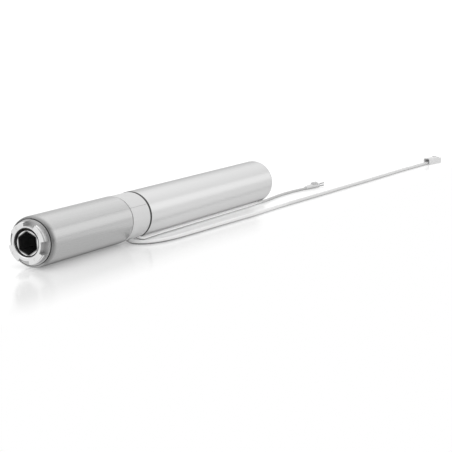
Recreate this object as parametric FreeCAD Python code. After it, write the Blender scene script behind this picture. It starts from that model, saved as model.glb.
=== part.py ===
import FreeCAD, Part
import math
import os

# Tubular motor for a venetian blind, lying on a flat surface with its two pigtail cables.
# Millimetres. The motor's axis runs along X, from the drive end (low X) to the closed end.
# Shapes of the motor are drawn with X counted from the drive end's face and with the motor's
# axis at Y = 0, Z = 0. seat() then moves them so that X = 0 is mid length and Z = 0 is the surface.

V = FreeCAD.Vector
ALONG = V(1, 0, 0)

# Tubes, driving dimensions
tube_radius = 12.5
tube_wall = 1.0
slide_gap = 0.05
motor_length = 244.0
tube_setback = 0.3
motor_overhang = 0.75
collar_length = 17.55
collar_inset = 0.2
front_seam = 0.65
rear_seam = 0.85
rim_length = 2.5
rim_inset = 0.85
tube_chamfer = 0.12
collar_chamfer = 0.2
insert_length = 10.0
front_insert_length = 6.0
coupler_wall = 1.4
waist_depth = 1.6
waist_gap = 0.1

# Crown, the toothed front cap that a bracket keeps from turning
lug_length = 4.0
lug_count = 4
lug_inset = 0.75
lug_bevel = 0.35
lug_bevel_length = 0.5
face_inset = 0.25
face_depth = 0.45
face_chamfer = 0.15
face_groove_width = 0.5
face_groove_depth = 0.35
notch_depth = 2.05
notch_angle = 38.0
first_notch_turn = 10.0
crown_bore_gap = 0.96
crown_bore_rise = 0.45
mark_radius = 0.75
mark_depth = 0.12
mark_place = 8.6
flange_inset = 0.35
flange_length = 2.0
spigot_cavity_gap = 0.6
crown_bore_chamfer = 0.3
bush_length = 8.0
bush_wall = 1.6

# Drive sleeve with its hexagonal socket
running_gap = 0.05
sleeve_recess = 1.3
socket_flats = 10.0
socket_turn = -5.3
socket_depth = 19.6
sleeve_wall = 0.58
sleeve_nose_wall = 0.32
sleeve_floor = 1.6
sleeve_chamfer = 0.1
sleeve_end_gap = 0.4
drive_flats = 7.0
drive_fit = 0.04
ring_thickness = 0.8
ring_groove_depth = 0.3
ring_groove_play = 0.05
ring_fit = 0.02
ring_width = 1.5
ring_opening = 3.0
ring_gap = 0.2

# Gearbox, three equal planetary stages, listed from the output to the motor
sun_teeth = 12
planet_teeth = 12
planet_count = 3
pressure_angle = math.radians(25.0)
addendum = 0.8
dedendum = 1.0
backlash = 0.16
ring_wall = 1.0
gear_widths = [5.6, 4.6, 4.0]
disc_thicknesses = [3.0, 2.2, 2.0]
disc_gap = 0.46
pin_radius = 1.0
pin_rise = 0.2
bearing_wall = 2.0
bearing_hole_gap = 0.35
axial_play = 0.4
stage_gap = 0.6

# Motor
mount_plate_thickness = 2.0
can_gap = 0.15
can_wall = 0.8
can_front = 1.6
can_length = 27.0
boss_radius = 3.0
boss_length = 1.4
shaft_radius = 1.0
bearing_radius = 2.4
bearing_length = 2.4
bearing_fit = 0.02
magnet_thickness = 2.1
magnet_angle = 120.0
magnet_start_gap = 4.0
magnet_end_gap = 2.8
air_gap = 0.5
rotor_start_gap = 6.0
rotor_slots = 3
slot_width = 3.0
slot_floor = 3.0
winding_inset = 0.2
winding_depth = 0.6
winding_overhang = 1.0
commutator_radius = 2.6
commutator_length = 3.0
commutator_gap = 1.5
segment_gap = 0.3
segment_depth = 0.5
brush_width = 2.2
brush_length = 2.8
brush_pad_thickness = 0.3
brush_pad_gap = 0.4
brush_pad_length = 3.4
brush_pad_width = 3.2
end_bell_thickness = 2.2
terminal_length = 3.4
terminal_width = 2.0
terminal_thickness = 0.5
terminal_offset = 6.0
encoder_radius = 3.5
encoder_thickness = 2.4
encoder_gap = 1.2
screw_inset = 3.6
screw_radius = 0.95
screw_head_radius = 1.9
screw_head_depth = 1.0
screw_tip_gap = 0.2
screw_clearance = 0.1
driver_slot_width = 0.4
driver_slot_depth = 0.4

# Electronics in the rear tube
board_level = -2.0
board_thickness = 1.6
board_side_gap = 0.45
board_gap = 9.3
board_end_gap = 24.7
carrier_wall = 1.0
carrier_ribs = 5
rib_thickness = 1.6
board_screw_radius = 1.0
board_screw_head_radius = 1.9
board_screw_head_height = 1.2
board_screw_depth = 3.0
board_screw_inset = 5.0
board_boss_wall = 0.6
capacitor_side = 4.2
capacitor_radius = 3.8
capacitor_length = 13.0
inductor_radius = 4.2
inductor_waist_radius = 3.2
inductor_height = 4.6
inductor_flange = 1.0
driver_size = (6.0, 5.0, 1.5)
controller_size = (7.0, 7.0, 1.2)
radio_size = (15.0, 12.0, 2.4)
radio_gap = 2.05

# Closed end
tail_head_length = 1.8
tail_head_inset = 0.1
tail_round = 1.2
tail_plug_length = 11.5
tail_plug_wall = 3.0
tail_web = 2.0
seal_radius = 0.8
seal_play = 0.1
seal_proud = 0.02

# Where the collar parts and where the cables leave it; angles about the axis from +Y towards +Z
parting_turn = 146.6
parting_gap = 0.12
outlet_turn = 240.0
outlet_fall = 22.0
signal_outlet_place = 14.8
signal_outlet_swing = 12.0
power_outlet_place = 5.15
power_outlet_swing = -25.0
outlet_gap = 0.05
outlet_overrun = 4.0

# Cables, grommets and conductors
floor_gap = 0.05
signal_radius = 0.85
power_radius = 1.1
grommet_wall = 0.4
grommet_length = 4.6
grommet_recess = 1.5
lead_radius = 0.5
lead_run = 2.2
lead_rise = 2.6
signal_lead_shift = 4.6
signal_lead_side = -2.6
power_lead_shift = 5.0
power_lead_side = 3.0
motor_lead_radius = 0.45
motor_lead_overlap = 3.0
motor_lead_lift = 0.05

# Corners of each cable's way along the surface after it has come down, X and Y, chosen by hand
signal_corners = [
    (-23.8, -7.9), (-16.5, -7.35), (-5.0, -7.1), (15.0, -7.2), (50.0, -7.05), (86.0, -7.2), (108.0, -7.05),
    (122.0, -7.0), (133.0, -6.1), (144.0, -5.1), (156.0, -4.75), (166.5, -5.1), (174.1, -5.93),
    (182.1, -7.06),
]
power_corners = [
    (-39.2, -11.4), (-37.4, -15.2), (-33.6, -18.0), (-27.5, -20.0), (-19.5, -21.6), (-4.0, -22.4),
    (18.0, -22.9), (46.0, -23.8), (78.0, -25.1), (112.0, -24.7), (152.0, -26.3), (196.0, -27.2),
    (246.0, -28.8), (290.0, -29.5), (318.0, -30.9), (333.5, -31.2), (344.8, -32.8),
]

# Signal plug, lengths along its own axis; its body's sections are (place, width, height)
boot_length = 1.2
boot_cover = 0.25
boot_end_radius = 1.2
plug_sections = [
    (boot_length, 2.5, 2.4),
    (boot_length + 2.6, 3.5, 2.7),
    (boot_length + 8.6, 4.0, 2.8),
    (boot_length + 14.6, 2.9, 2.7),
]
cap_place = 6.2
cap_length = 6.4
cap_width = 3.2
cap_height = 1.75
cap_margin = 0.3
cap_sink = 0.4
prong_length = 6.3
prong_width = 1.2
prong_thickness = 0.6
prong_spacing = 1.4
prong_level = 1.45

# Power connector, lengths along its own axis
connector_length = 17.4
connector_width = 5.2
connector_height = 4.7
connector_round = 1.2
hood_length = 5.0
hood_wall = 0.7
nose_length = 5.0
nose_drop = 0.9
latch_length = 1.6
latch_height = 0.6
latch_width = 2.6
nose_latch_place = 2.4
contact_width = 1.2
contact_height = 1.6
contact_spacing = 2.2
contact_depth = 5.5
contact_recess = 0.6
contact_floor = 1.5
contact_side_wall = 0.3
contact_top_wall = 0.4

# How far a cutting shape runs past the surface that it cuts
beyond = 1.0

half_length = motor_length / 2
tube_bore = tube_radius - tube_wall
insert_radius = tube_bore - slide_gap
flange_radius = insert_radius - flange_inset
lug_radius = flange_radius - lug_inset
face_radius = lug_radius - face_inset
face_groove_radius = face_radius - face_groove_depth
face_groove_end = face_depth + face_groove_width
notch_floor_radius = lug_radius - notch_depth
front_tube_start = lug_length + tube_setback
sleeve_radius = socket_flats / math.sqrt(3) + sleeve_wall
sleeve_nose_radius = socket_flats / math.sqrt(3) + sleeve_nose_wall
crown_bore_radius = sleeve_nose_radius + crown_bore_gap
bush_start = lug_length + flange_length
bush_end = bush_start + bush_length
bush_radius = sleeve_radius + running_gap + bush_wall
spigot_cavity_radius = bush_radius + spigot_cavity_gap
ring_start = bush_end + ring_gap
socket_end = sleeve_recess + socket_depth
sleeve_end = socket_end + sleeve_floor
crown_end = sleeve_end + sleeve_end_gap
cavity_start = crown_end + bearing_wall

ring_teeth = sun_teeth + 2 * planet_teeth
gear_module = (insert_radius - ring_wall) / (ring_teeth / 2 + dedendum)
sun_pitch = gear_module * sun_teeth / 2
planet_pitch = gear_module * planet_teeth / 2
ring_pitch = gear_module * ring_teeth / 2
centre_distance = sun_pitch + planet_pitch
planet_turns = [360.0 * i / planet_count for i in range(planet_count)]


def stage_places():
    """Start of each stage's disc and the span of its gears, from the output stage on."""
    places = []
    start = cavity_start + axial_play
    for width, disc in zip(gear_widths, disc_thicknesses):
        gear_start = start + disc + axial_play
        places.append((start, start + disc, gear_start, gear_start + width))
        start = gear_start + width + stage_gap
    return places, start


stages, housing_end = stage_places()
coupler_bore = insert_radius - coupler_wall
can_radius = coupler_bore - can_gap
can_start = housing_end + mount_plate_thickness
can_end = can_start + can_length
end_bell_start = can_end - end_bell_thickness
commutator_end = end_bell_start - brush_pad_thickness
commutator_start = commutator_end - commutator_length
rotor_start = can_start + rotor_start_gap
rotor_end = commutator_start - commutator_gap
magnet_outer_radius = can_radius - can_wall
screw_offset = can_radius - screw_inset
rotor_radius = magnet_outer_radius - magnet_thickness - air_gap
encoder_start = can_end + encoder_gap
encoder_end = encoder_start + encoder_thickness

front_tube_end = can_end - motor_overhang
collar_start = front_tube_end + front_seam
collar_end = collar_start + collar_length
rear_tube_start = collar_end + rear_seam
tail_head_start = motor_length - tail_head_length
coupler_start = front_tube_end - front_insert_length
coupler_end = rear_tube_start + insert_length
waist_radius = tube_radius - waist_depth
collar_radius = tube_radius - collar_inset
collar_bore = waist_radius + waist_gap
carrier_end = tail_head_start - tail_plug_length
board_start = can_end + board_gap
board_end = carrier_end - board_end_gap
board_top = board_level + board_thickness
board_half_width = math.sqrt(coupler_bore ** 2 - board_level ** 2) - board_side_gap
grommet_radius = power_radius + grommet_wall
cap_level = floor_gap + plug_sections[1][2] - cap_sink
contact_low = floor_gap + (connector_height - nose_drop - contact_height) / 2


def seat(shape):
    """Move a motor piece from the axis frame onto the surface it lies on."""
    moved = shape.copy()
    moved.translate(V(-half_length, 0, tube_radius))
    return moved


def rod(start, end, radius):
    return Part.makeCylinder(radius, end - start, V(start, 0, 0), ALONG)


def tube(start, end, outer, inner):
    return rod(start, end, outer).cut(rod(start, end, inner))


def block(low, high):
    return Part.makeBox(high[0] - low[0], high[1] - low[1], high[2] - low[2], V(*low))


def turned(shape, degrees):
    """A copy turned about the motor's axis."""
    copy = shape.copy()
    copy.rotate(V(0, 0, 0), ALONG, degrees)
    return copy


def around(degrees, radius):
    """Y and Z of a point about the motor's axis, the angle counted from +Y towards +Z."""
    return radius * math.cos(math.radians(degrees)), radius * math.sin(math.radians(degrees))


def lathe(profile):
    """Solid turned about the motor's axis from a closed list of (x, radius)."""
    points = [V(x, r, 0) for x, r in profile]
    face = Part.Face(Part.makePolygon(points + points[:1]))
    return face.revolve(V(0, 0, 0), ALONG, 360)


def prism(points, start, end):
    """Closed outline of (y, z) points pulled along the axis."""
    corners = [V(start, y, z) for y, z in points]
    face = Part.Face(Part.makePolygon(corners + corners[:1]))
    return face.extrude(V(end - start, 0, 0))


def hexagon(flats, turn, start, end):
    corner = flats / math.sqrt(3)
    return prism([around(90 + turn + 60 * i, corner) for i in range(6)], start, end)


def sector(start, end, radius, middle, width):
    """Pie slice about the axis, used to cut notches and arcs."""
    steps = [middle + width * (i / 4 - 0.5) for i in range(5)]
    reach = radius / math.cos(math.radians(width / 8))
    return prism([(0, 0)] + [around(a, reach) for a in steps], start, end)


# Crown and output


def crown():
    body = lathe([
        (0, 0),
        (0, face_radius - face_chamfer),
        (face_chamfer, face_radius),
        (face_depth, face_radius),
        (face_depth, face_groove_radius),
        (face_groove_end, face_groove_radius),
        (face_groove_end, lug_radius - lug_bevel),
        (face_groove_end + lug_bevel_length, lug_radius),
        (lug_length, lug_radius),
        (lug_length, flange_radius),
        (lug_length + flange_length, flange_radius),
        (lug_length + flange_length, insert_radius),
        (crown_end, insert_radius),
        (crown_end, spigot_cavity_radius),
        (bush_end, spigot_cavity_radius),
        (bush_end, bush_radius + slide_gap),
        (bush_start, bush_radius + slide_gap),
        (bush_start, 0),
    ])
    body = body.cut(crown_bore())
    ring = tube(0, lug_length, lug_radius + beyond, notch_floor_radius)
    for i in range(lug_count):
        notch_turn = first_notch_turn + 360.0 * i / lug_count
        body = body.cut(ring.common(sector(0, lug_length, lug_radius + beyond, notch_turn, notch_angle)))
        y, z = around(notch_turn + 180.0 / lug_count, mark_place)
        body = body.cut(Part.makeCylinder(mark_radius, mark_depth, V(0, y, z), ALONG))
    return body


def crown_bore():
    """What is cut for the clearance hole around the sleeve, a little above the axis, with a chamfered lip."""
    hole = lathe([
        (0, 0),
        (0, crown_bore_radius + crown_bore_chamfer),
        (crown_bore_chamfer, crown_bore_radius),
        (bush_start, crown_bore_radius),
        (bush_start, 0),
    ])
    hole.translate(V(0, 0, crown_bore_rise))
    return hole


def front_bush():
    return tube(bush_start, bush_end, bush_radius, sleeve_radius + running_gap)


def drive_sleeve():
    """Sleeve with a thin nose around the socket, a ring groove, and a hexagonal stub for the output carrier."""
    body = lathe([
        (sleeve_recess, 0),
        (sleeve_recess, sleeve_nose_radius - sleeve_chamfer),
        (sleeve_recess + sleeve_chamfer, sleeve_nose_radius),
        (bush_start, sleeve_nose_radius),
        (bush_start, sleeve_radius),
        (sleeve_end, sleeve_radius),
        (sleeve_end, 0),
    ])
    body = body.cut(hexagon(socket_flats, socket_turn, sleeve_recess, socket_end))
    groove = tube(ring_start - ring_groove_play, ring_start + ring_thickness + ring_groove_play,
                  sleeve_radius + beyond, sleeve_radius - ring_groove_depth)
    body = body.cut(groove)
    return body.fuse(hexagon(drive_flats, 0, sleeve_end, stages[0][1]))


def retaining_ring():
    """Open ring in the sleeve's groove, just behind the bush."""
    inner = sleeve_radius - ring_groove_depth + ring_fit
    body = tube(ring_start, ring_start + ring_thickness, inner + ring_width, inner)
    opening = block((ring_start, -ring_opening / 2, 0),
                    (ring_start + ring_thickness, ring_opening / 2, inner + ring_width + beyond))
    return body.cut(opening)


# Gears


def involute(angle):
    return math.tan(angle) - angle


def tooth_outline(teeth, tip, root, thickness, turn):
    """(y, z) corners of a spur gear whose first tooth is centred on turn, in degrees."""
    pitch = gear_module * teeth / 2
    base = pitch * math.cos(pressure_angle)
    at_pitch = thickness / (2 * pitch) + involute(pressure_angle)
    start = max(base, root)
    radii = [start + (tip - start) * i / 3 for i in range(4)]
    flank = [(r, at_pitch - involute(math.acos(min(1.0, base / r)))) for r in radii]
    if base > root:
        flank.insert(0, (root, flank[0][1]))
    points = []
    for i in range(teeth):
        middle = math.radians(turn) + 2 * math.pi * i / teeth
        side = [(r, middle - half) for r, half in flank]
        other = [(r, middle + half) for r, half in reversed(flank)]
        points += [(r * math.cos(a), r * math.sin(a)) for r, a in side + other]
    return points


def spur_gear(teeth, start, end, turn):
    pitch = gear_module * teeth / 2
    tip = pitch + addendum * gear_module
    root = pitch - dedendum * gear_module
    thickness = math.pi * gear_module / 2 - backlash / 2
    return prism(tooth_outline(teeth, tip, root, thickness, turn), start, end)


def ring_space(start, end):
    """What the internal teeth leave open; a tooth, not a gap, stands at turn 0."""
    tip = ring_pitch + dedendum * gear_module
    root = ring_pitch - addendum * gear_module
    thickness = math.pi * gear_module / 2 + backlash / 2
    return prism(tooth_outline(ring_teeth, tip, root, thickness, 180.0 / ring_teeth), start, end)


def gearbox_housing():
    body = rod(crown_end, housing_end, insert_radius)
    hole = drive_flats / math.sqrt(3) + bearing_hole_gap
    body = body.cut(rod(crown_end, cavity_start, hole))
    return body.cut(ring_space(cavity_start, housing_end))


def planet_carrier(stage):
    """Disc of one stage; behind the output stage it also carries the next stage's sun."""
    disc_start, disc_end = stages[stage][:2]
    body = rod(disc_start, disc_end, ring_pitch - addendum * gear_module - disc_gap)
    for turn in planet_turns:
        y, z = around(turn, centre_distance)
        body = body.cut(Part.makeCylinder(pin_radius, disc_end - disc_start, V(disc_start, y, z), ALONG))
    if stage == 0:
        return body.cut(hexagon(drive_flats + 2 * drive_fit, 0, disc_start, disc_end))
    return body.fuse(spur_gear(sun_teeth, stages[stage - 1][2], disc_start, 0))


def carrier_pins(stage):
    disc_start, _, _, gear_end = stages[stage]
    pins = []
    for turn in planet_turns:
        y, z = around(turn, centre_distance)
        length = gear_end + pin_rise - disc_start
        pins.append(Part.makeCylinder(pin_radius, length, V(disc_start, y, z), ALONG))
    return Part.makeCompound(pins)


def planet_gear(stage, turn):
    """Planet at its place, with a gap facing the ring's tooth at that turn."""
    _, _, start, end = stages[stage]
    gear = spur_gear(planet_teeth, start, end, turn + 180.0 / planet_teeth)
    gear = gear.cut(rod(start, end, pin_radius + running_gap))
    y, z = around(turn, centre_distance)
    gear.translate(V(0, y, z))
    return gear


# Motor


def screw_places():
    return [(-screw_offset, 0), (screw_offset, 0)]


def motor_mount_plate():
    body = rod(housing_end, can_start, insert_radius)
    body = body.cut(rod(housing_end, can_start, boss_radius + slide_gap))
    for y, z in screw_places():
        hole = Part.makeCylinder(screw_radius + screw_clearance, mount_plate_thickness,
                                 V(housing_end, y, z), ALONG)
        sink = Part.makeCylinder(screw_head_radius + screw_clearance, screw_head_depth,
                                 V(housing_end, y, z), ALONG)
        body = body.cut(hole).cut(sink)
    return body


def motor_screws():
    screws = []
    for y, z in screw_places():
        head = Part.makeCylinder(screw_head_radius, screw_head_depth, V(housing_end, y, z), ALONG)
        shank = Part.makeCylinder(screw_radius, mount_plate_thickness + can_front - screw_tip_gap,
                                  V(housing_end, y, z), ALONG)
        slot = block((housing_end, y - driver_slot_width / 2, z - screw_head_radius),
                     (housing_end + driver_slot_depth, y + driver_slot_width / 2, z + screw_head_radius))
        screws.append(head.fuse(shank).cut(slot))
    return Part.makeCompound(screws)


def motor_can():
    body = rod(can_start, can_end, can_radius)
    body = body.cut(rod(can_start + can_front, can_end, magnet_outer_radius))
    body = body.fuse(rod(can_start - boss_length, can_start, boss_radius))
    body = body.cut(rod(can_start - boss_length, can_start + can_front, bearing_radius + bearing_fit))
    for y, z in screw_places():
        body = body.cut(Part.makeCylinder(screw_radius, can_front, V(can_start, y, z), ALONG))
    return body


def across(side, near, far):
    """Lowest and highest Y of a stretch that lies near to far from the axis, on one side."""
    return min(side * near, side * far), max(side * near, side * far)


def motor_end_bell():
    body = rod(end_bell_start, can_end, magnet_outer_radius)
    body = body.cut(rod(end_bell_start, can_end, bearing_radius + bearing_fit))
    near = commutator_radius + brush_pad_gap
    for side in (-1, 1):
        low, high = across(side, near, near + brush_pad_length)
        pad = block((commutator_end, low, -brush_pad_width / 2), (end_bell_start, high, brush_pad_width / 2))
        body = body.fuse(pad)
        y = side * terminal_offset
        slot = block((end_bell_start, y - terminal_thickness / 2, -terminal_width / 2),
                     (can_end, y + terminal_thickness / 2, terminal_width / 2))
        body = body.cut(slot)
    return body


def motor_bearings():
    front_start = can_start - boss_length
    front = tube(front_start, front_start + bearing_length, bearing_radius, shaft_radius + running_gap)
    rear = tube(end_bell_start, can_end, bearing_radius, shaft_radius + running_gap)
    return Part.makeCompound([front, rear])


def motor_magnets():
    start = can_start + magnet_start_gap
    end = end_bell_start - magnet_end_gap
    shell = tube(start, end, magnet_outer_radius, magnet_outer_radius - magnet_thickness)
    arcs = [shell.common(sector(start, end, magnet_outer_radius + beyond, middle, magnet_angle))
            for middle in (90, 270)]
    return Part.makeCompound(arcs)


def slot_box(width, floor, start, end, reach):
    return block((start, floor, -width / 2), (end, reach, width / 2))


def rotor_core():
    body = tube(rotor_start, rotor_end, rotor_radius, shaft_radius)
    for i in range(rotor_slots):
        slot = slot_box(slot_width, slot_floor, rotor_start, rotor_end, rotor_radius + beyond)
        body = body.cut(turned(slot, 360.0 * i / rotor_slots))
    return body


def rotor_windings():
    width = slot_width - 2 * winding_inset
    coils = []
    for i in range(rotor_slots):
        coil = slot_box(width, slot_floor + winding_inset, rotor_start - winding_overhang,
                        rotor_end + winding_overhang, rotor_radius - winding_depth)
        coils.append(turned(coil, 360.0 * i / rotor_slots))
    return Part.makeCompound(coils)


def commutator():
    body = tube(commutator_start, commutator_end, commutator_radius, shaft_radius)
    for i in range(rotor_slots):
        gap = slot_box(segment_gap, commutator_radius - segment_depth, commutator_start, commutator_end,
                       commutator_radius + beyond)
        body = body.cut(turned(gap, 360.0 * i / rotor_slots))
    return body


def brushes():
    """Carbon blocks that stand on the end bell's pads, one on each side of the commutator."""
    near = commutator_radius + running_gap
    blocks = []
    for side in (-1, 1):
        low, high = across(side, near, near + brush_length)
        blocks.append(block((commutator_end - brush_width, low, -brush_width / 2),
                            (commutator_end, high, brush_width / 2)))
    return Part.makeCompound(blocks)


def motor_terminals():
    plates = []
    for side in (-1, 1):
        y = side * terminal_offset
        plates.append(block((end_bell_start, y - terminal_thickness / 2, -terminal_width / 2),
                            (can_end + terminal_length, y + terminal_thickness / 2, terminal_width / 2)))
    return Part.makeCompound(plates)


def motor_shaft():
    return rod(stages[-1][2], encoder_end, shaft_radius)


def motor_pinion():
    _, _, start, end = stages[-1]
    gear = spur_gear(sun_teeth, start, end + pin_rise, 0)
    return gear.cut(rod(start, end + pin_rise, shaft_radius))


def encoder_magnet():
    return tube(encoder_start, encoder_end, encoder_radius, shaft_radius)


# Tubes, collar and tail


def front_tube():
    """Tube whose front rim is rolled in along a quarter of an ellipse."""
    edge = V(front_tube_start, tube_radius - rim_inset, 0)
    top = V(front_tube_start + rim_length, tube_radius, 0)
    rim = Part.Ellipse(edge, top, V(top.x, edge.y, 0))
    rest = Part.makePolygon([
        top,
        V(front_tube_end - tube_chamfer, tube_radius, 0),
        V(front_tube_end, tube_radius - tube_chamfer, 0),
        V(front_tube_end, tube_bore, 0),
        V(front_tube_start, tube_bore, 0),
        edge,
    ])
    outline = Part.Wire([Part.ArcOfEllipse(rim, 0, math.pi / 2).toShape()] + rest.Edges)
    return Part.Face(outline).revolve(V(0, 0, 0), ALONG, 360)


def chamfered_tube(start, end, outer, inner, chamfer):
    """Tube whose outer edges are broken at both ends."""
    return lathe([
        (start, inner),
        (start, outer - chamfer),
        (start + chamfer, outer),
        (end - chamfer, outer),
        (end, outer - chamfer),
        (end, inner),
    ])


def cable_exits():
    """Mouth of each cable's hole on the collar and the way the cable leaves it, in the axis frame."""
    exits = {}
    for name, place, swing in (
        ("signal", signal_outlet_place, math.radians(signal_outlet_swing)),
        ("power", power_outlet_place, math.radians(power_outlet_swing)),
    ):
        y, z = around(outlet_turn, tube_radius)
        fall = math.radians(outlet_fall)
        away = V(math.sin(swing) * math.cos(fall), -math.cos(swing) * math.cos(fall), -math.sin(fall))
        exits[name] = (V(collar_start + place, y, z), away)
    return exits


def outlet_hole(name):
    mouth, away = cable_exits()[name]
    start = mouth - away * (grommet_recess + grommet_length)
    length = grommet_recess + grommet_length + outlet_overrun
    return Part.makeCylinder(grommet_radius + outlet_gap, length, start, away)


def grommet(name):
    mouth, away = cable_exits()[name]
    start = mouth - away * (grommet_recess + grommet_length)
    return Part.makeCylinder(grommet_radius, grommet_length, start, away)


def tube_coupler():
    """Sleeve inside both tubes, with a rib in each seam and between them the waist that the collar closes."""
    body = lathe([
        (coupler_start, coupler_bore),
        (coupler_start, insert_radius),
        (front_tube_end, insert_radius),
        (front_tube_end, collar_radius),
        (collar_start, collar_radius),
        (collar_start, waist_radius),
        (collar_end, waist_radius),
        (collar_end, collar_radius),
        (rear_tube_start, collar_radius),
        (rear_tube_start, insert_radius),
        (coupler_end, insert_radius),
        (coupler_end, coupler_bore),
    ])
    return body.cut(outlet_hole("signal")).cut(outlet_hole("power"))


def collar_half(upper):
    ring = chamfered_tube(collar_start, collar_end, collar_radius, collar_bore, collar_chamfer)
    reach = 2 * tube_radius
    low, high = (parting_gap / 2, reach) if upper else (-reach, -parting_gap / 2)
    side = block((collar_start, -reach, low), (collar_end, reach, high))
    half = ring.common(turned(side, parting_turn - 180))
    return half.cut(outlet_hole("signal")).cut(outlet_hole("power"))


def rear_tube():
    return chamfered_tube(rear_tube_start, tail_head_start, tube_radius, tube_bore, tube_chamfer)


def tail_cap():
    head = rod(tail_head_start, motor_length, tube_radius - tail_head_inset)
    rims = [e for e in head.Edges if isinstance(e.Curve, Part.Circle)]
    head = head.makeFillet(tail_round, [max(rims, key=lambda e: e.CenterOfMass.x)])
    plug = rod(carrier_end, tail_head_start, insert_radius)
    groove = tube(seal_middle() - seal_radius - seal_play, seal_middle() + seal_radius + seal_play,
                  insert_radius + beyond, insert_radius - 2 * seal_radius)
    pocket = rod(carrier_end, tail_head_start - tail_web, insert_radius - tail_plug_wall)
    return head.fuse(plug.cut(groove).cut(pocket))


def seal_middle():
    return (carrier_end + tail_head_start) / 2


def tail_seal():
    ring_radius = insert_radius - seal_radius + seal_proud
    return Part.makeTorus(ring_radius, seal_radius, V(seal_middle(), 0, 0), ALONG)


# Electronics


def board_screw_places():
    return [(coupler_end + board_screw_inset, 0), (board_end - board_screw_inset, 0)]


def upright(x, y, low, high, radius):
    """Standing cylinder between two heights."""
    return Part.makeCylinder(radius, high - low, V(x, y, low), V(0, 0, 1))


def board_carrier():
    """Half shell with cross ribs that the board lies on and two screw bosses."""
    joined = insert_radius - carrier_wall / 2
    body = tube(coupler_end, carrier_end, insert_radius, insert_radius - carrier_wall)
    spacing = (board_end - coupler_end - rib_thickness) / (carrier_ribs - 1)
    for i in range(carrier_ribs):
        start = coupler_end + i * spacing
        body = body.fuse(rod(start, start + rib_thickness, joined))
    for x, y in board_screw_places():
        body = body.fuse(upright(x, y, -joined, board_level, board_screw_head_radius + board_boss_wall))
    below_board = block((coupler_end, -tube_radius, -tube_radius), (carrier_end, tube_radius, board_level))
    body = body.common(below_board)
    for x, y in board_screw_places():
        body = body.cut(upright(x, y, board_level - board_screw_depth, board_level, board_screw_radius))
    return body


def circuit_board():
    body = block((board_start, -board_half_width, board_level), (board_end, board_half_width, board_top))
    for x, y in board_screw_places():
        body = body.cut(upright(x, y, board_level, board_top, board_screw_radius + screw_clearance))
    return body


def board_screws():
    screws = []
    head_top = board_top + board_screw_head_height
    for x, y in board_screw_places():
        head = upright(x, y, board_top, head_top, board_screw_head_radius)
        shank = upright(x, y, board_level - board_screw_depth + screw_tip_gap, board_top, board_screw_radius)
        slot = block((x - board_screw_head_radius, y - driver_slot_width / 2, head_top - driver_slot_depth),
                     (x + board_screw_head_radius, y + driver_slot_width / 2, head_top))
        screws.append(head.fuse(shank).cut(slot))
    return Part.makeCompound(screws)


def radio_start():
    last_screw = board_screw_places()[-1][0]
    return last_screw - board_screw_head_radius - radio_gap - radio_size[0]


def board_row():
    """Starts of the capacitor, inductor, driver and controller, spaced evenly from first screw to radio."""
    lengths = [capacitor_length, 2 * inductor_radius, driver_size[0], controller_size[0]]
    end = board_screw_places()[0][0] + board_screw_head_radius
    space = (radio_start() - end - sum(lengths)) / (len(lengths) + 1)
    starts = []
    for length in lengths:
        starts.append(end + space)
        end = starts[-1] + length
    return starts


def chip(x, size):
    """Flat block in the middle of the board, from its length, width and height."""
    return block((x, -size[1] / 2, board_top), (x + size[0], size[1] / 2, board_top + size[2]))


def board_chips():
    """Motor driver and controller."""
    driver_start, controller_start = board_row()[2:]
    return Part.makeCompound([chip(driver_start, driver_size), chip(controller_start, controller_size)])


def radio_module():
    return chip(radio_start(), radio_size)


def capacitor():
    low_end = V(board_row()[0], capacitor_side, board_top + capacitor_radius)
    return Part.makeCylinder(capacitor_radius, capacitor_length, low_end, ALONG)


def inductor():
    x = board_row()[1] + inductor_radius
    low = board_top + inductor_flange
    high = board_top + inductor_height - inductor_flange
    core = upright(x, 0, board_top, board_top + inductor_height, inductor_radius)
    waist = upright(x, 0, low, high, inductor_waist_radius)
    return core.cut(upright(x, 0, low, high, inductor_radius + beyond).cut(waist))


# Cables and what is on them, in the frame of the surface, from the motor's mid length


def mouth_on_floor(name):
    mouth, away = cable_exits()[name]
    start = mouth - away * grommet_recess
    return start + V(-half_length, 0, tube_radius), away


def cable_radius(name):
    return signal_radius if name == "signal" else power_radius


def cable_points(name):
    """Start in the grommet's face, the point where the cable comes down, then the corners."""
    start, away = mouth_on_floor(name)
    height = cable_radius(name) + floor_gap
    down = start + away * ((start.z - height) / -away.z)
    corners = signal_corners if name == "signal" else power_corners
    return [start, down] + [V(x, y, height) for x, y in corners]


def rounded_path(points, name):
    """Straight runs joined by arcs as large as the two runs at each corner allow."""
    edges = []
    radii = []
    at = points[0]
    for before, corner, after in zip(points, points[1:], points[2:]):
        back, ahead = before - corner, after - corner
        shorter = min(back.Length, ahead.Length)
        turn = math.pi - back.getAngle(ahead)
        reach = 0.45 * shorter
        radii.append(round(reach / math.tan(turn / 2), 1))
        first = corner + back * (reach / back.Length)
        last = corner + ahead * (reach / ahead.Length)
        bisector = back * (1 / back.Length) + ahead * (1 / ahead.Length)
        bisector.normalize()
        middle = corner + bisector * (reach / math.sin(turn / 2) - reach / math.tan(turn / 2))
        edges.append(Part.LineSegment(at, first).toShape())
        edges.append(Part.Arc(first, middle, last).toShape())
        at = last
    edges.append(Part.LineSegment(at, points[-1]).toShape())
    print(name, "cable radii", radii)
    return Part.Wire(edges)


def swept_tube(points, radius, name):
    path = rounded_path(points, name)
    start = points[0]
    circle = Part.Wire(Part.Circle(start, points[1] - start, radius).toShape())
    solid = path.makePipeShell([circle], True, False)
    section = math.pi * radius * radius
    ratio = solid.Volume / section / path.Length
    print(name, "cable length", round(path.Length, 1), "volume ratio", round(ratio, 4))
    return solid


def cable(name):
    return swept_tube(cable_points(name), cable_radius(name), name)


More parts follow.
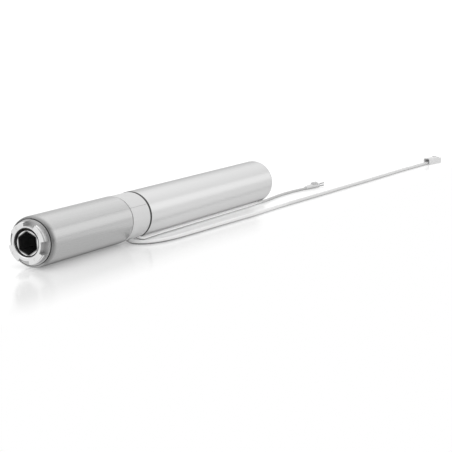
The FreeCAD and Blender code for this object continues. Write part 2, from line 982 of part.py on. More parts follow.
def lead(name, shift, side):
    """Inner end of a cable's conductors, from the grommet up to the circuit board."""
    mouth, away = cable_exits()[name]
    start = mouth - away * (grommet_recess + grommet_length)
    bend = start - away * lead_run
    end = V(mouth.x + shift, side, board_level)
    below = end - V(0, 0, lead_rise)
    return swept_tube([start, bend, below, end], lead_radius, name + " lead")


def inner_leads():
    """Conductors from the grommets and from the motor's terminals to the circuit board."""
    leads = [
        lead("signal", signal_lead_shift, signal_lead_side),
        lead("power", power_lead_shift, power_lead_side),
    ]
    level = board_top + motor_lead_radius + motor_lead_lift
    for side in (-1, 1):
        start = V(can_end + terminal_length, side * terminal_offset, level)
        length = board_start + motor_lead_overlap - start.x
        leads.append(Part.makeCylinder(motor_lead_radius, length, start, ALONG))
    return Part.makeCompound(leads)


def at_end(shape, name):
    """Turn a connector drawn along +X from the origin and put it in line with its cable's end."""
    before, end = cable_points(name)[-2:]
    placed = shape.copy()
    placed.rotate(V(0, 0, 0), V(0, 0, 1), math.degrees(math.atan2(end.y - before.y, end.x - before.x)))
    placed.translate(V(end.x, end.y, 0))
    return placed


# Signal plug


def ring_wire(x, width, height):
    """Elliptic section across X that stands floor_gap above the surface."""
    middle = V(x, 0, floor_gap + height / 2)
    if width == height:
        return Part.Wire(Part.Circle(middle, ALONG, width / 2).toShape())
    sideways, up = V(0, 1, 0), V(0, 0, 1)
    major, minor = (sideways, up) if width > height else (up, sideways)
    ellipse = Part.Ellipse(middle + major * (max(width, height) / 2),
                           middle + minor * (min(width, height) / 2), middle)
    return Part.Wire(ellipse.toShape())


def signal_plug_boot():
    """Short taper from just outside the cable's jacket to the plug's body."""
    narrow = 2 * (signal_radius + boot_cover)
    cable_end = ring_wire(0, narrow, narrow)
    body_end = ring_wire(boot_length, 2 * boot_end_radius, 2 * boot_end_radius)
    return at_end(Part.makeLoft([cable_end, body_end], True, True), "signal")


def signal_plug_body():
    """Swelling body with a flat cut in its top for the cap."""
    body = Part.makeLoft([ring_wire(*section) for section in plug_sections], True, False)
    start = boot_length + cap_place
    flat = block((start - cap_margin, -tube_radius, cap_level),
                 (start + cap_length + cap_margin, tube_radius, tube_radius))
    return at_end(body.cut(flat), "signal")


def signal_plug_cap():
    """Low dome with round ends that stands on the flat of the plug's body."""
    sphere_radius = (cap_width ** 2 / 4 + cap_height ** 2) / (2 * cap_height)
    start = boot_length + cap_place
    straight = cap_length - cap_width
    first = start + cap_width / 2
    centre_level = cap_level + cap_height - sphere_radius
    dome = Part.makeCylinder(sphere_radius, straight, V(first, 0, centre_level), ALONG)
    for x in (first, first + straight):
        dome = dome.fuse(Part.makeSphere(sphere_radius, V(x, 0, centre_level)))
    keep = block((start - beyond, -cap_width, cap_level),
                 (start + cap_length + beyond, cap_width, cap_level + 2 * cap_height))
    return at_end(dome.common(keep).removeSplitter(), "signal")


def signal_plug_prongs():
    """Two flat prongs, one above the other."""
    start = plug_sections[-1][0]
    prongs = []
    for side in (-1, 1):
        level = prong_level + side * prong_spacing / 2
        low = (start, -prong_width / 2, level - prong_thickness / 2)
        high = (start + prong_length, prong_width / 2, level + prong_thickness / 2)
        prongs.append(block(low, high))
    return at_end(Part.makeCompound(prongs), "signal")


# Power connector


def latch(start, level):
    half = latch_width / 2
    return block((start, -half, level), (start + latch_length, half, level + latch_height))


def arch(low, high, radius):
    """Block along X whose two long top edges are rounded."""
    body = block(low, high)
    top_edges = [e for e in body.Edges if e.BoundBox.XLength > radius and e.BoundBox.ZMin > high[2] - radius]
    return body.makeFillet(radius, top_edges)


def power_connector_housing():
    """Open hood over the cable's end, a body, and a lower nose with the contacts' cavities."""
    half = connector_width / 2
    end = connector_length - hood_length
    nose_start = end - nose_length
    top = floor_gap + connector_height
    nose_top = top - nose_drop
    body = arch((-hood_length, -half, floor_gap), (end, half, top), connector_round)
    inside = arch((-hood_length, -half + hood_wall, 0), (0, half - hood_wall, top - hood_wall),
                  connector_round - hood_wall)
    body = body.cut(inside)
    body = body.cut(block((nose_start, -half, nose_top), (end, half, top)))
    body = body.fuse(latch(nose_start - latch_length, top))
    body = body.fuse(latch(nose_start + nose_latch_place, nose_top))
    for side in (-1, 1):
        y = side * contact_spacing / 2
        body = body.cut(block((end - contact_depth, y - contact_width / 2, contact_low),
                              (end, y + contact_width / 2, contact_low + contact_height)))
    return at_end(body, "power")


def power_connector_contacts():
    """Hollow contacts that fill their cavities, a little behind the nose's face."""
    end = connector_length - hood_length
    contacts = []
    for side in (-1, 1):
        y = side * contact_spacing / 2
        low = V(end - contact_depth, y - contact_width / 2, contact_low)
        high = V(end - contact_recess, y + contact_width / 2, contact_low + contact_height)
        mouth_low = low + V(contact_floor, contact_side_wall, contact_top_wall)
        mouth_high = high + V(contact_recess, -contact_side_wall, -contact_top_wall)
        contacts.append(block(low, high).cut(block(mouth_low, mouth_high)))
    return at_end(Part.makeCompound(contacts), "power")


def motor_pieces():
    """Every piece of the motor in the axis frame, by node name."""
    pieces = {
        "crown": crown(),
        "front_bush": front_bush(),
        "drive_sleeve": drive_sleeve(),
        "retaining_ring": retaining_ring(),
        "front_tube": front_tube(),
        "gearbox_housing": gearbox_housing(),
        "motor_mount_plate": motor_mount_plate(),
        "motor_screws": motor_screws(),
        "motor_can": motor_can(),
        "motor_bearings": motor_bearings(),
        "motor_magnets": motor_magnets(),
        "motor_end_bell": motor_end_bell(),
        "motor_terminals": motor_terminals(),
        "brushes": brushes(),
        "motor_shaft": motor_shaft(),
        "motor_pinion": motor_pinion(),
        "rotor_core": rotor_core(),
        "rotor_windings": rotor_windings(),
        "commutator": commutator(),
        "encoder_magnet": encoder_magnet(),
        "tube_coupler": tube_coupler(),
        "collar_upper": collar_half(True),
        "collar_lower": collar_half(False),
        "signal_grommet": grommet("signal"),
        "power_grommet": grommet("power"),
        "inner_leads": inner_leads(),
        "rear_tube": rear_tube(),
        "tail_cap": tail_cap(),
        "tail_seal": tail_seal(),
        "board_carrier": board_carrier(),
        "circuit_board": circuit_board(),
        "board_screws": board_screws(),
        "capacitor": capacitor(),
        "inductor": inductor(),
        "board_chips": board_chips(),
        "radio_module": radio_module(),
    }
    for stage in range(len(stages)):
        number = len(stages) - stage
        pieces["planet_carrier_%d" % number] = planet_carrier(stage)
        pieces["carrier_pins_%d" % number] = carrier_pins(stage)
        for letter, turn in zip("abc", planet_turns):
            pieces["planet_gear_%d%s" % (number, letter)] = planet_gear(stage, turn)
    return pieces


def cord_pieces():
    """The cables and what is on them, already on the surface."""
    return {
        "signal_cable": cable("signal"),
        "signal_plug_boot": signal_plug_boot(),
        "signal_plug_body": signal_plug_body(),
        "signal_plug_cap": signal_plug_cap(),
        "signal_plug_prongs": signal_plug_prongs(),
        "power_cable": cable("power"),
        "power_connector_housing": power_connector_housing(),
        "power_connector_contacts": power_connector_contacts(),
    }


def main():
    os.makedirs("parts", exist_ok=True)
    pieces = {name: seat(shape) for name, shape in motor_pieces().items()}
    pieces.update(cord_pieces())
    for name, shape in pieces.items():
        if not shape.isValid() or shape.Volume <= 0:
            print("faulty", name)
        shape.exportStep("parts/%s.step" % name)
    print(len(pieces), "pieces")


main()
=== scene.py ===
import math

import bpy
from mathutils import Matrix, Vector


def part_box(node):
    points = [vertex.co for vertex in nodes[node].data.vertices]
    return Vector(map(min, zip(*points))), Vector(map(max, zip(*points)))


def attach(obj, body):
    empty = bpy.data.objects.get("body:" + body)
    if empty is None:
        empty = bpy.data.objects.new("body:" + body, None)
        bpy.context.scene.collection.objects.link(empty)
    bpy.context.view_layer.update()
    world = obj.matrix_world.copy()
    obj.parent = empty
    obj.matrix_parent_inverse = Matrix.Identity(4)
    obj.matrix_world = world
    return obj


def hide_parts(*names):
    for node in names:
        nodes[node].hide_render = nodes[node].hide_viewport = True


# Looks of a tubular motor for a venetian blind, lying on a pale floor with its two cables. All is in
# metres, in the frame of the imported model: the motor's axis runs along X, and the floor is at Z = 0. A
# way is a pair of places and a step a pair of other values, between which a level changes.

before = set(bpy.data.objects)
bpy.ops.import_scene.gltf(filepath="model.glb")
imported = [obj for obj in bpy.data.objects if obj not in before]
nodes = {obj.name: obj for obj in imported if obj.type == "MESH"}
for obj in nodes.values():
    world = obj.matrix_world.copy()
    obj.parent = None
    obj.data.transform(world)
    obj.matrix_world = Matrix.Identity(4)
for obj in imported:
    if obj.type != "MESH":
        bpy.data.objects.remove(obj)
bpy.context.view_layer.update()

MM = 0.001

# Places taken from the frame
front_low, front_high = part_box("front_tube")
rim = front_low.x
axis_height = (front_low.z + front_high.z) / 2
crown_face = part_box("crown")[0].x
sleeve_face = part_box("drive_sleeve")[0].x
collar_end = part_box("collar_upper")[1].x
rear_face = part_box("rear_tube")[0].x
tail_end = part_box("tail_cap")[1].x

# Camera, from the photograph's perspective: its place, then in radians its turn from +Y towards +X and
# its tilt down, and its lens in millimetres
camera_place = (-0.717524, -0.410621, 0.140255)
camera_yaw = 1.0974110056
camera_pitch = 0.1647624702
camera_lens = 123.47
sensor_width = 36.0

# Floor: its size and finish, and the glow that the camera sees and that lights the object
floor_size = 60.0
floor_grey = 0.68
floor_roughness = 0.12
floor_gloss = 0.15
floor_glow = 0.365
floor_bounce = 0.16

# Along Y, the floor that the camera sees turns from plain white to its own look
white_way = (-60 * MM, -30 * MM)

# Painted grey image of the motor on the floor before it, as its shadow and reflection: how dark it is, the
# ways over which it begins and ends along Y and along X, and how far it moves along X for each metre along
# Y
painted_image_dark = 0.135
image_across = ((-62 * MM, -45 * MM), (-4 * MM, 0.0))
image_along = ((crown_face - 18 * MM, crown_face + 17 * MM), (tail_end - 17 * MM, tail_end + 8 * MM))
image_lean = 1.73

# Painted pale grey that evens out the floor's shadow and reflection before the crown, along X, in what the
# camera sees
crown_image_way = (crown_face - 38 * MM, crown_face - 6 * MM)
crown_image_share = 0.6
crown_image_level = 0.87

# White world: how strongly it is seen, by the camera and in gloss, and how strongly it lights
world_seen = 1.0
world_light = 0.68

# The world in gloss: dark towards the side that the object is seen from, and a little brighter towards
# +X. Both steps go by the cosine of the angle to that direction
dark_direction = (-0.3, -0.954, 0.0)
dark_step = (0.1, 1.05)
dark_level = 0.22
bright_step = (0.8, 0.95)
bright_levels = (0.96, 1.06)

# The floor in gloss: an even pale ground at some distance from the axis, and also on the axis before the
# crown and behind the rear seam, where it is brighter. Its share of what gloss sees grows along the motor
even_level = 0.93
even_aside_way = (3 * MM, 10 * MM)
even_front_way = (crown_face + 3 * MM, crown_face + 9 * MM)
even_rear_way = (rear_face - 5 * MM, rear_face + 15 * MM)
even_rear_level = 1.2
even_share_way = (rear_face - 55 * MM, rear_face + 55 * MM)
even_shares = (0.85, 1.0)

# That ground darkens with the distance towards the side that the object is seen from, as far back as the
# collar
floor_dark_step = (60 * MM, 125 * MM)
floor_dark_way = (rear_face - 35 * MM, rear_face - 5 * MM)
floor_dark_share = 0.3

# Moulded plastic: grains and clouds per metre, the grain's depth, and the spreads of roughness and colour
fine_grain = 2500.0
grain_depth = 0.01 * MM
grain_roughness_spread = 0.06
cloud_grain = 120.0
cloud_colour_spread = 0.01

# Fine lines in metal: the spreads of roughness and colour
line_roughness_spread = 0.015
line_colour_spread = 0.012

# Cable jackets: painted shade along the underside, by the height of the normal, and less so towards the far
# end of the motor, where their grey changes as well: beside the motor it is painted lighter than their own
# grey
jacket_roughness = 0.45
jacket_depth = 0.008 * MM
underside_shade_step = (-0.75, 0.0)
underside_shade_levels = (0.1, 0.5)
underside_shade_way = (rear_face - 5 * MM, tail_end - 22 * MM)
jacket_lit_way = (tail_end - 22 * MM, tail_end + 8 * MM)

# Turned faces, with painted light on the front and painted shade on the rest: how far back the bright front
# reaches, the normal's X up to which a wall has it, and the rings that turning leaves on it
lit_face_depth = 1.6 * MM
lit_face_blend = 0.1 * MM
lit_face_slant = -0.4
ring_grain = 4000.0
ring_depth = 0.0015 * MM

# Painted shade of a bevel round the drive socket: the angles of its flats' normals in degrees, how far out
# it reaches, and the radius from which the lip round it stays bright
socket_normals = (-5.3, 54.7, 114.7)
socket_shade_reach = 5.42 * MM
socket_lip = 5.93 * MM

# Painted shadow of the rear seam on the collar's end and on the rear tube's start
seam_painted_shadow = 0.1
collar_way = (collar_end - 0.5 * MM, collar_end - 0.25 * MM)
seam_way = (rear_face, rear_face + 0.4 * MM)

# Painted shade on the front tube over its drawn-in rim, along X. Near the floor it gives way to a paler
# level, along Z
rim_painted_shade = 0.47
rim_way = (rim - 0.5 * MM, rim + 3.8 * MM)
rim_low_way = (1.5 * MM, 6.0 * MM)
rim_low_level = 0.95

# Long softboxes about the motor's axis: half their length, their distance from it, and for each the two
# angles in degrees that it spans and its radiance on top of the white world's
box_reach = 2.6
box_distance = 0.9
softboxes = [(36, 52, 0.25), (52, 80, 0.5), (80, 104, 0.38), (104, 127, 0.25), (136, 174, 0.48)]

# Cable routes in millimetres, as the construction has them: a cable's radius, the height of its line on the
# floor, its start in the collar, and its control points from where it comes down
signal_radius = 0.85
signal_level = 0.9
signal_start = (-28.889, -4.89, 2.237)
signal_down = (-28.20, -8.13)
signal_corners = [
    (-23.8, -7.9), (-16.5, -7.35), (-5.0, -7.1), (15.0, -7.2), (50.0, -7.05), (86.0, -7.2), (108.0, -7.05),
    (122.0, -7.0), (133.0, -6.1), (144.0, -5.1), (156.0, -4.75), (166.5, -5.1), (174.1, -5.93),
    (182.1, -7.06),
]
power_radius = 1.1
power_level = 1.15
power_start = (-37.662, -4.99, 2.237)
power_down = (-38.80, -7.43)
power_corners = [
    (-39.2, -11.4), (-37.4, -15.2), (-33.6, -18.0), (-27.5, -20.0), (-19.5, -21.6), (-4.0, -22.4),
    (18.0, -22.9), (46.0, -23.8), (78.0, -25.1), (112.0, -24.7), (152.0, -26.3), (196.0, -27.2),
    (246.0, -28.8), (290.0, -29.5), (318.0, -30.9), (333.5, -31.2), (344.8, -32.8),
]


# Node trees


class Tree:
    """A node tree with short ways to add nodes. A value is plain, or the output of another node."""

    def __init__(self, tree):
        self.tree = tree

    def node(self, kind, **settings):
        made = self.tree.nodes.new(kind)
        for key, setting in settings.items():
            setattr(made, key, setting)
        return made

    def feed(self, socket, value):
        """Link an output to a socket, or set the socket itself."""
        if isinstance(value, bpy.types.NodeSocket):
            self.tree.links.new(value, socket)
        else:
            socket.default_value = value

    def filled(self, kind, values, **settings):
        """A new node, with values for its first sockets or, from a dictionary, for sockets by name."""
        made = self.node(kind, **settings)
        pairs = values.items() if isinstance(values, dict) else enumerate(values)
        for socket, value in pairs:
            self.feed(made.inputs[socket], value)
        return made

    def maths(self, operation, *values):
        return self.filled("ShaderNodeMath", values, operation=operation).outputs[0]

    def fold(self, operation, first, *others):
        """One operation over any number of values, in turn."""
        for other in others:
            first = self.maths(operation, first, other)
        return first

    def vectors(self, operation, *values):
        """A vector, from two vectors."""
        return self.filled("ShaderNodeVectorMath", values, operation=operation).outputs["Vector"]

    def measure(self, operation, *values):
        """A number, from one or two vectors."""
        return self.filled("ShaderNodeVectorMath", values, operation=operation).outputs["Value"]

    def split(self, vector):
        """X, Y and Z of a vector."""
        return self.filled("ShaderNodeSeparateXYZ", [vector]).outputs

    def blend(self, share, first, last):
        """From one level to another in line with a share of 0 to 1."""
        levels = {"Value": share, "To Min": first, "To Max": last}
        return self.filled("ShaderNodeMapRange", levels).outputs["Result"]

    def step(self, value, start, end, first, last):
        """Smoothly from one level to another while a value goes from start to end."""
        levels = {"Value": value, "From Min": start, "From Max": end, "To Min": first, "To Max": last}
        smooth = self.filled("ShaderNodeMapRange", levels, interpolation_type="SMOOTHSTEP")
        return smooth.outputs["Result"]

    def band(self, value, rise, fall):
        """1 between a rise and a fall, else 0."""
        return self.maths("MULTIPLY", self.step(value, *rise, 0.0, 1.0), self.step(value, *fall, 1.0, 0.0))

    def glow(self, strength):
        """White light of its own."""
        return self.filled("ShaderNodeEmission", {"Strength": strength}).outputs[0]

    def mix(self, share, first, second):
        """One shader where a share is 0, another where it is 1."""
        return self.filled("ShaderNodeMixShader", [share, first, second]).outputs[0]


class Look(Tree):
    """A material's node tree, with what the finishes below share."""

    def __init__(self, name, colour, roughness, metallic=0.0, **sockets):
        self.material = bpy.data.materials.new("look_" + name)
        self.material.use_nodes = True
        super().__init__(self.material.node_tree)
        self.shader = self.tree.nodes["Principled BSDF"]
        self.shader.inputs["Base Color"].default_value = (*colour, 1.0)
        self.shader.inputs["Roughness"].default_value = roughness
        self.shader.inputs["Metallic"].default_value = metallic
        for socket, value in sockets.items():
            self.shader.inputs[socket.replace("_", " ")].default_value = value
        self.place = self.node("ShaderNodeTexCoord").outputs["Object"]

    def noise(self, along, across, detail=2.0, roughness=0.5):
        """Noise in the model's frame, with its grains per metre along X and across it."""
        scaled = self.filled("ShaderNodeMapping", {"Vector": self.place, "Scale": (along, across, across)})
        place = scaled.outputs["Vector"]
        values = {"Vector": place, "Scale": 1.0, "Detail": detail, "Roughness": roughness}
        return self.filled("ShaderNodeTexNoise", values).outputs["Fac"]

    def vary(self, share, first, last):
        """Drive the roughness between two values."""
        self.feed(self.shader.inputs["Roughness"], self.blend(share, first, last))

    def tint(self, share, first, last, low=0.3, high=0.7):
        """Drive the base colour between two colours."""
        ramp = self.filled("ShaderNodeValToRGB", {"Fac": share})
        for element, position, colour in zip(ramp.color_ramp.elements, (low, high), (first, last)):
            element.position = position
            element.color = (*colour, 1.0)
        self.feed(self.shader.inputs["Base Color"], ramp.outputs["Color"])

    def bump(self, height, depth):
        """Relief of a real depth in metres."""
        relief = self.filled("ShaderNodeBump", {"Height": height, "Distance": depth})
        self.feed(self.shader.inputs["Normal"], relief.outputs["Normal"])

    def grain(self, roughness, per_metre=fine_grain, depth=grain_depth):
        """Fine grain of moulded plastic, in roughness and relief."""
        fine = self.noise(per_metre, per_metre)
        self.vary(fine, roughness - grain_roughness_spread, roughness + grain_roughness_spread)
        self.bump(fine, depth)


def grey(value):
    return (value, value, value)


def between(colour, spread):
    """The two colours that lie a spread below and above one."""
    return tuple(c - spread for c in colour), tuple(c + spread for c in colour)


# Finishes


def metal(name, colour, roughness, along, across, depth, spread=line_colour_spread, **sockets):
    """Metal with fine lines along X, as drawn or turned stock has."""
    look = Look(name, colour, roughness, 1.0, **sockets)
    lines = look.noise(along, across, detail=3.0, roughness=0.6)
    look.vary(lines, roughness - line_roughness_spread, roughness + line_roughness_spread)
    look.tint(lines, *between(colour, spread))
    look.bump(lines, depth)
    return look


def shaded(look, way, dark, low=None):
    """Paint shade into a finish where it begins along X, but hardly near the floor, if low gives the way
    along Z.
    """
    x, _, z = look.split(look.place)
    level = look.step(x, *way, dark, 1.0)
    if low:
        level = look.maths("MAXIMUM", level, look.step(z, *low, rim_low_level, 0.0))
    base = look.shader.inputs["Base Color"]
    look.feed(base, look.vectors("MULTIPLY", base.links[0].from_socket, level))
    return look


def flat_distance(look, centred):
    """How far out a place lies from the motor's axis, square to the drive socket's flats."""
    farthest = 0.0
    for turn in socket_normals:
        normal = (0.0, math.cos(math.radians(turn)), math.sin(math.radians(turn)))
        reach = look.maths("ABSOLUTE", look.measure("DOT_PRODUCT", centred, normal))
        farthest = look.maths("MAXIMUM", farthest, reach)
    return farthest


def lit_face_metal(name, front, lit_turned, shaded_rest, socket_shaded=False):
    """Metal with a turned front in painted light and a rest in painted shade, each as (grey, roughness),
    and with painted shade round the drive socket if asked.
    """
    look = Look(name, grey(lit_turned[0]), lit_turned[1], 1.0)
    centred = look.vectors("SUBTRACT", look.place, (0.0, 0.0, axis_height))
    radius = look.measure("LENGTH", look.vectors("MULTIPLY", centred, (0.0, 1.0, 1.0)))
    rings = look.filled("ShaderNodeTexNoise", {"W": radius, "Scale": ring_grain}, noise_dimensions="1D")
    look.bump(rings.outputs["Fac"], ring_depth)
    # Painted light on forward-facing walls near the front; the rest, recesses and bore included, gets
    # painted shade
    back = front + lit_face_depth
    near = look.step(look.split(look.place)["X"], back - lit_face_blend, back, 1.0, 0.0)
    normal = look.node("ShaderNodeNewGeometry").outputs["Normal"]
    bright = look.maths("MULTIPLY", near, look.maths("LESS_THAN", look.split(normal)["X"], lit_face_slant))
    # Painted shade of a bevel round the socket, inside the bright lip
    if socket_shaded:
        outside = look.maths("GREATER_THAN", flat_distance(look, centred), socket_shade_reach)
        lip = look.maths("GREATER_THAN", radius, socket_lip)
        bright = look.maths("MULTIPLY", bright, look.maths("MAXIMUM", outside, lip))
    look.vary(bright, shaded_rest[1], lit_turned[1])
    look.tint(bright, grey(shaded_rest[0]), grey(lit_turned[0]))
    return look


def plastic(name, colour, roughness, per_metre=fine_grain, depth=grain_depth):
    """Moulded plastic with a fine grain and a slight cloudiness."""
    look = Look(name, colour, roughness)
    look.tint(look.noise(cloud_grain, cloud_grain, detail=3.0), *between(colour, cloud_colour_spread))
    look.grain(roughness, per_metre, depth)
    return look


def edged(name, value, roughness, way):
    """Matt moulded plastic with a painted shadow of the seam along its rear edge."""
    look = Look(name, grey(value), roughness, Specular_IOR_Level=0.0)
    lit = look.step(look.split(look.place)["X"], *way, 1.0, 0.0)
    look.tint(lit, grey(seam_painted_shadow), grey(value), low=0.0, high=1.0)
    look.bump(look.noise(fine_grain, fine_grain), grain_depth)
    return look


def jacket(name, value, far_value):
    """Smooth cable jacket with painted shade along its underside, painted lighter beside the motor than its
    own grey behind it.
    """
    look = Look(name, grey(value), jacket_roughness)
    look.grain(jacket_roughness, depth=jacket_depth)
    x = look.split(look.place)["X"]
    normal = look.split(look.node("ShaderNodeNewGeometry").outputs["Normal"])
    under = look.step(x, *underside_shade_way, *underside_shade_levels)
    underside_shade = look.step(normal["Z"], *underside_shade_step, under, 1.0)
    level = look.step(x, *jacket_lit_way, value, far_value)
    look.feed(look.shader.inputs["Base Color"], look.maths("MULTIPLY", level, underside_shade))
    return look


front_metal = metal("anodised_tube", grey(0.485), 0.27, 25.0, 5200.0, 0.0001 * MM, 0.002,
                    Specular_Tint=(*grey(0.8), 1.0))
rear_metal = metal("drawn_tube", grey(0.65), 0.31, 25.0, 4200.0, 0.0001 * MM, 0.002,
                   Specular_Tint=(*grey(0.62), 1.0))
looks = {
    # The front tube's rim and the rear tube's start get painted shade in their colour
    "front_tube_metal": shaded(front_metal, rim_way, rim_painted_shade, rim_low_way),
    "rear_tube_metal": shaded(rear_metal, seam_way, seam_painted_shadow),
    # The crown's and the drive sleeve's fronts are painted light, their recesses and bore painted shade
    "drive_steel": lit_face_metal("drive_steel", sleeve_face, (0.8, 0.3), (0.24, 0.45), socket_shaded=True),
    "crown_metal": lit_face_metal("cast_crown", crown_face, (0.83, 0.32), (0.56, 0.45)),
    "gear_steel": metal("gear_steel", grey(0.42), 0.35, 700.0, 700.0, 0.002 * MM),
    "pin_steel": metal("pin_steel", grey(0.55), 0.25, 300.0, 1500.0, 0.001 * MM),
    # The bush's grey, far darker than bronze, is painted shade for the crown's bore
    "bush_bronze": metal("bush_bronze", (0.12, 0.11, 0.1), 0.38, 1500.0, 1500.0, 0.002 * MM),
    "can_steel": metal("can_steel", grey(0.52), 0.34, 60.0, 1500.0, 0.002 * MM),
    "copper": metal("copper", (0.78, 0.36, 0.2), 0.3, 900.0, 900.0, 0.003 * MM),
    "shield_metal": metal("shield_metal", grey(0.6), 0.3, 500.0, 500.0, 0.001 * MM),
    "contact_metal": metal("contact_metal", grey(0.34), 0.35, 500.0, 1500.0, 0.001 * MM),
    "magnet_ferrite": plastic("magnet_ferrite", grey(0.05), 0.6, 1800.0, 0.02 * MM),
    "carbon": plastic("carbon", grey(0.03), 0.7, 1500.0, 0.02 * MM),
    "collar_plastic": edged("collar_plastic", 0.72, 0.48, collar_way),
    "tail_plastic": plastic("tail_plastic", grey(0.6), 0.5),
    "black_plastic": plastic("black_plastic", grey(0.035), 0.5),
    "gear_plastic": plastic("gear_plastic", (0.75, 0.74, 0.68), 0.42),
    "rubber_black": plastic("rubber_black", grey(0.03), 0.75),
    "board_green": plastic("board_green", (0.02, 0.16, 0.07), 0.4),
    "chip_black": plastic("chip_black", grey(0.03), 0.45),
    "capacitor_sleeve": plastic("capacitor_sleeve", (0.03, 0.05, 0.12), 0.35),
    "lead_insulation": plastic("lead_insulation", (0.45, 0.03, 0.02), 0.4),
    "connector_white": plastic("connector_white", grey(0.75), 0.45),
    # Jackets: the first grey is painted lighter beside the motor, the second is their own grey behind it
    "cable_grey": jacket("cable_grey", 0.96, 0.52),
    "cable_white": jacket("cable_white", 0.82, 0.7),
    "plug_grey": jacket("plug_grey", 0.7, 0.68),
}

for node in nodes.values():
    slot = node.data.materials[0].name
    node.data.materials.clear()
    node.data.materials.append(looks[slot].material)
nodes["signal_plug_cap"].data.materials[0] = plastic("plug_cap", grey(0.52), 0.4).material


# Cables


def cable(name, start, down, corners, level, radius, slot):
    """Round cable on one smooth line through its route's control points."""
    points = [start, (*down, level)] + [(x, y, level) for x, y in corners]
    curve = bpy.data.curves.new(name, "CURVE")
    curve.dimensions = "3D"
    curve.resolution_u = 24
    curve.bevel_depth = radius * MM
    curve.bevel_resolution = 10
    curve.use_fill_caps = True
    spline = curve.splines.new("NURBS")
    spline.points.add(len(points) - 1)
    for control, point in zip(spline.points, points):
        control.co = (point[0] * MM, point[1] * MM, point[2] * MM, 1.0)
    spline.order_u = 3
    spline.use_endpoint_u = True
    piece = bpy.data.objects.new(name, curve)
    bpy.context.scene.collection.objects.link(piece)
    curve.materials.append(looks[slot].material)
    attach(piece, "motor_body")
    return piece


signal = cable("signal_cord", signal_start, signal_down, signal_corners, signal_level, signal_radius,
               "cable_grey")
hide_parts("signal_cable")
power = cable("power_cord", power_start, power_down, power_corners, power_level, power_radius,
              "cable_white")
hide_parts("power_cable")


# Floor, world, lights and camera


def floor_look():
    """Pale floor with a soft mirror image and a painted shadow and reflection of the motor for the camera,
    and an even ground in the object's gloss.
    """
    look = Look("floor_white", grey(floor_grey), floor_roughness)
    look.shader.inputs["Specular IOR Level"].default_value = floor_gloss
    rays = look.node("ShaderNodeLightPath").outputs
    camera = rays["Is Camera Ray"]
    gloss = rays["Is Glossy Ray"]
    x, y, _ = look.split(look.place)

    # Its shader with a glow, less the painted shadow and reflection, and another glow onto the object
    leaning = look.maths("MULTIPLY_ADD", y, -image_lean, x)
    painted_image = look.maths("MULTIPLY", look.band(y, *image_across), look.band(leaning, *image_along))
    seen = look.step(painted_image, 0.0, 1.0, floor_glow, floor_glow - painted_image_dark)
    strength = look.blend(rays["Is Diffuse Ray"], seen, floor_bounce)
    glow = look.glow(look.maths("MULTIPLY", strength, look.blend(gloss, 1.0, 0.0)))
    shown = look.filled("ShaderNodeAddShader", [look.shader.outputs[0], glow]).outputs[0]

    # For the camera, painted pale grey before the crown, and white on the near side
    pale = look.fold("MULTIPLY", camera, painted_image, look.step(x, *crown_image_way, crown_image_share, 0.0))
    shown = look.mix(pale, shown, look.glow(crown_image_level))
    white = look.maths("MULTIPLY", camera, look.step(y, *white_way, 1.0, 0.0))
    shown = look.mix(white, shown, look.glow(1.0))

    # For gloss, the even ground
    aside = look.step(look.maths("ABSOLUTE", y), *even_aside_way, 0.0, 1.0)
    ahead = look.step(x, *even_front_way, 1.0, 0.0)
    behind = look.step(x, *even_rear_way, 0.0, 1.0)
    share = look.fold("MULTIPLY", gloss, look.fold("MAXIMUM", aside, ahead, behind),
                      look.step(x, *even_share_way, *even_shares))
    towards = look.measure("DOT_PRODUCT", look.place, dark_direction)
    dark = look.maths("MULTIPLY", look.step(towards, *floor_dark_step, 0.0, floor_dark_share),
                      look.step(x, *floor_dark_way, 1.0, 0.0))
    level = look.maths("MULTIPLY", look.step(dark, 0.0, 1.0, even_level, 0.0),
                       look.step(x, *even_rear_way, 1.0, even_rear_level))
    shown = look.mix(share, shown, look.glow(level))
    look.feed(look.tree.nodes["Material Output"].inputs["Surface"], shown)
    return look


def make_floor():
    half = floor_size / 2
    corners = [(-half, -half, 0), (half, -half, 0), (half, half, 0), (-half, half, 0)]
    mesh = bpy.data.meshes.new("floor")
    mesh.from_pydata(corners, [], [(0, 1, 2, 3)])
    mesh.materials.append(floor_look().material)
    floor = bpy.data.objects.new("floor", mesh)
    bpy.context.scene.collection.objects.link(floor)


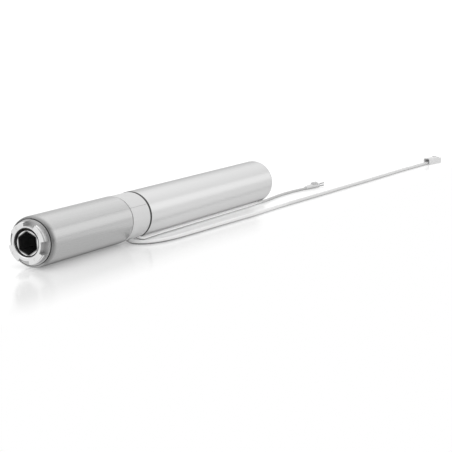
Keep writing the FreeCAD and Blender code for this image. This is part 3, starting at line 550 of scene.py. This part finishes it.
def make_world():
    """White world that is seen brighter than it lights, with a dark side in gloss."""
    world = bpy.data.worlds.new("studio")
    world.use_nodes = True
    sky = Tree(world.node_tree)
    rays = sky.node("ShaderNodeLightPath").outputs
    gloss = rays["Is Glossy Ray"]
    direction = sky.node("ShaderNodeTexCoord").outputs["Generated"]
    dark = sky.step(sky.measure("DOT_PRODUCT", direction, dark_direction), *dark_step, 1.0, dark_level)
    bright = sky.step(sky.split(direction)["X"], *bright_step, *bright_levels)
    in_gloss = sky.blend(gloss, 1.0, sky.maths("MULTIPLY", dark, bright))
    seen = sky.fold("MAXIMUM", rays["Is Camera Ray"], gloss, rays["Is Transmission Ray"])
    strength = sky.maths("MULTIPLY", sky.blend(seen, world_light, world_seen), in_gloss)
    background = sky.tree.nodes["Background"]
    background.inputs["Color"].default_value = (*grey(1.0), 1.0)
    sky.feed(background.inputs["Strength"], strength)
    bpy.context.scene.world = world


def make_softbox(start, end, radiance):
    """Long rectangular lamp that spans two angles about the motor's axis, counted from +Y towards +Z."""
    lamp = bpy.data.lights.new("softbox", "AREA")
    lamp.shape = "RECTANGLE"
    lamp.size = 2 * box_reach
    lamp.size_y = 2 * box_distance * math.tan(math.radians(end - start) / 2)
    lamp.energy = radiance * math.pi * lamp.size * lamp.size_y
    softbox = bpy.data.objects.new("softbox", lamp)
    angle = math.radians(start + end) / 2
    softbox.location = (0.0, box_distance * math.cos(angle), axis_height + box_distance * math.sin(angle))
    softbox.rotation_euler = (angle - math.pi / 2, 0.0, 0.0)
    softbox.visible_camera = False
    bpy.context.scene.collection.objects.link(softbox)


def make_camera():
    data = bpy.data.cameras.new("camera")
    data.lens = camera_lens
    data.sensor_width = sensor_width
    camera = bpy.data.objects.new("camera", data)
    camera.location = camera_place
    camera.rotation_euler = (math.pi / 2 - camera_pitch, 0.0, -camera_yaw)
    bpy.context.scene.collection.objects.link(camera)
    bpy.context.scene.camera = camera


make_floor()
make_world()
for softbox in softboxes:
    make_softbox(*softbox)
make_camera()
bpy.context.scene.view_settings.view_transform = "Standard"
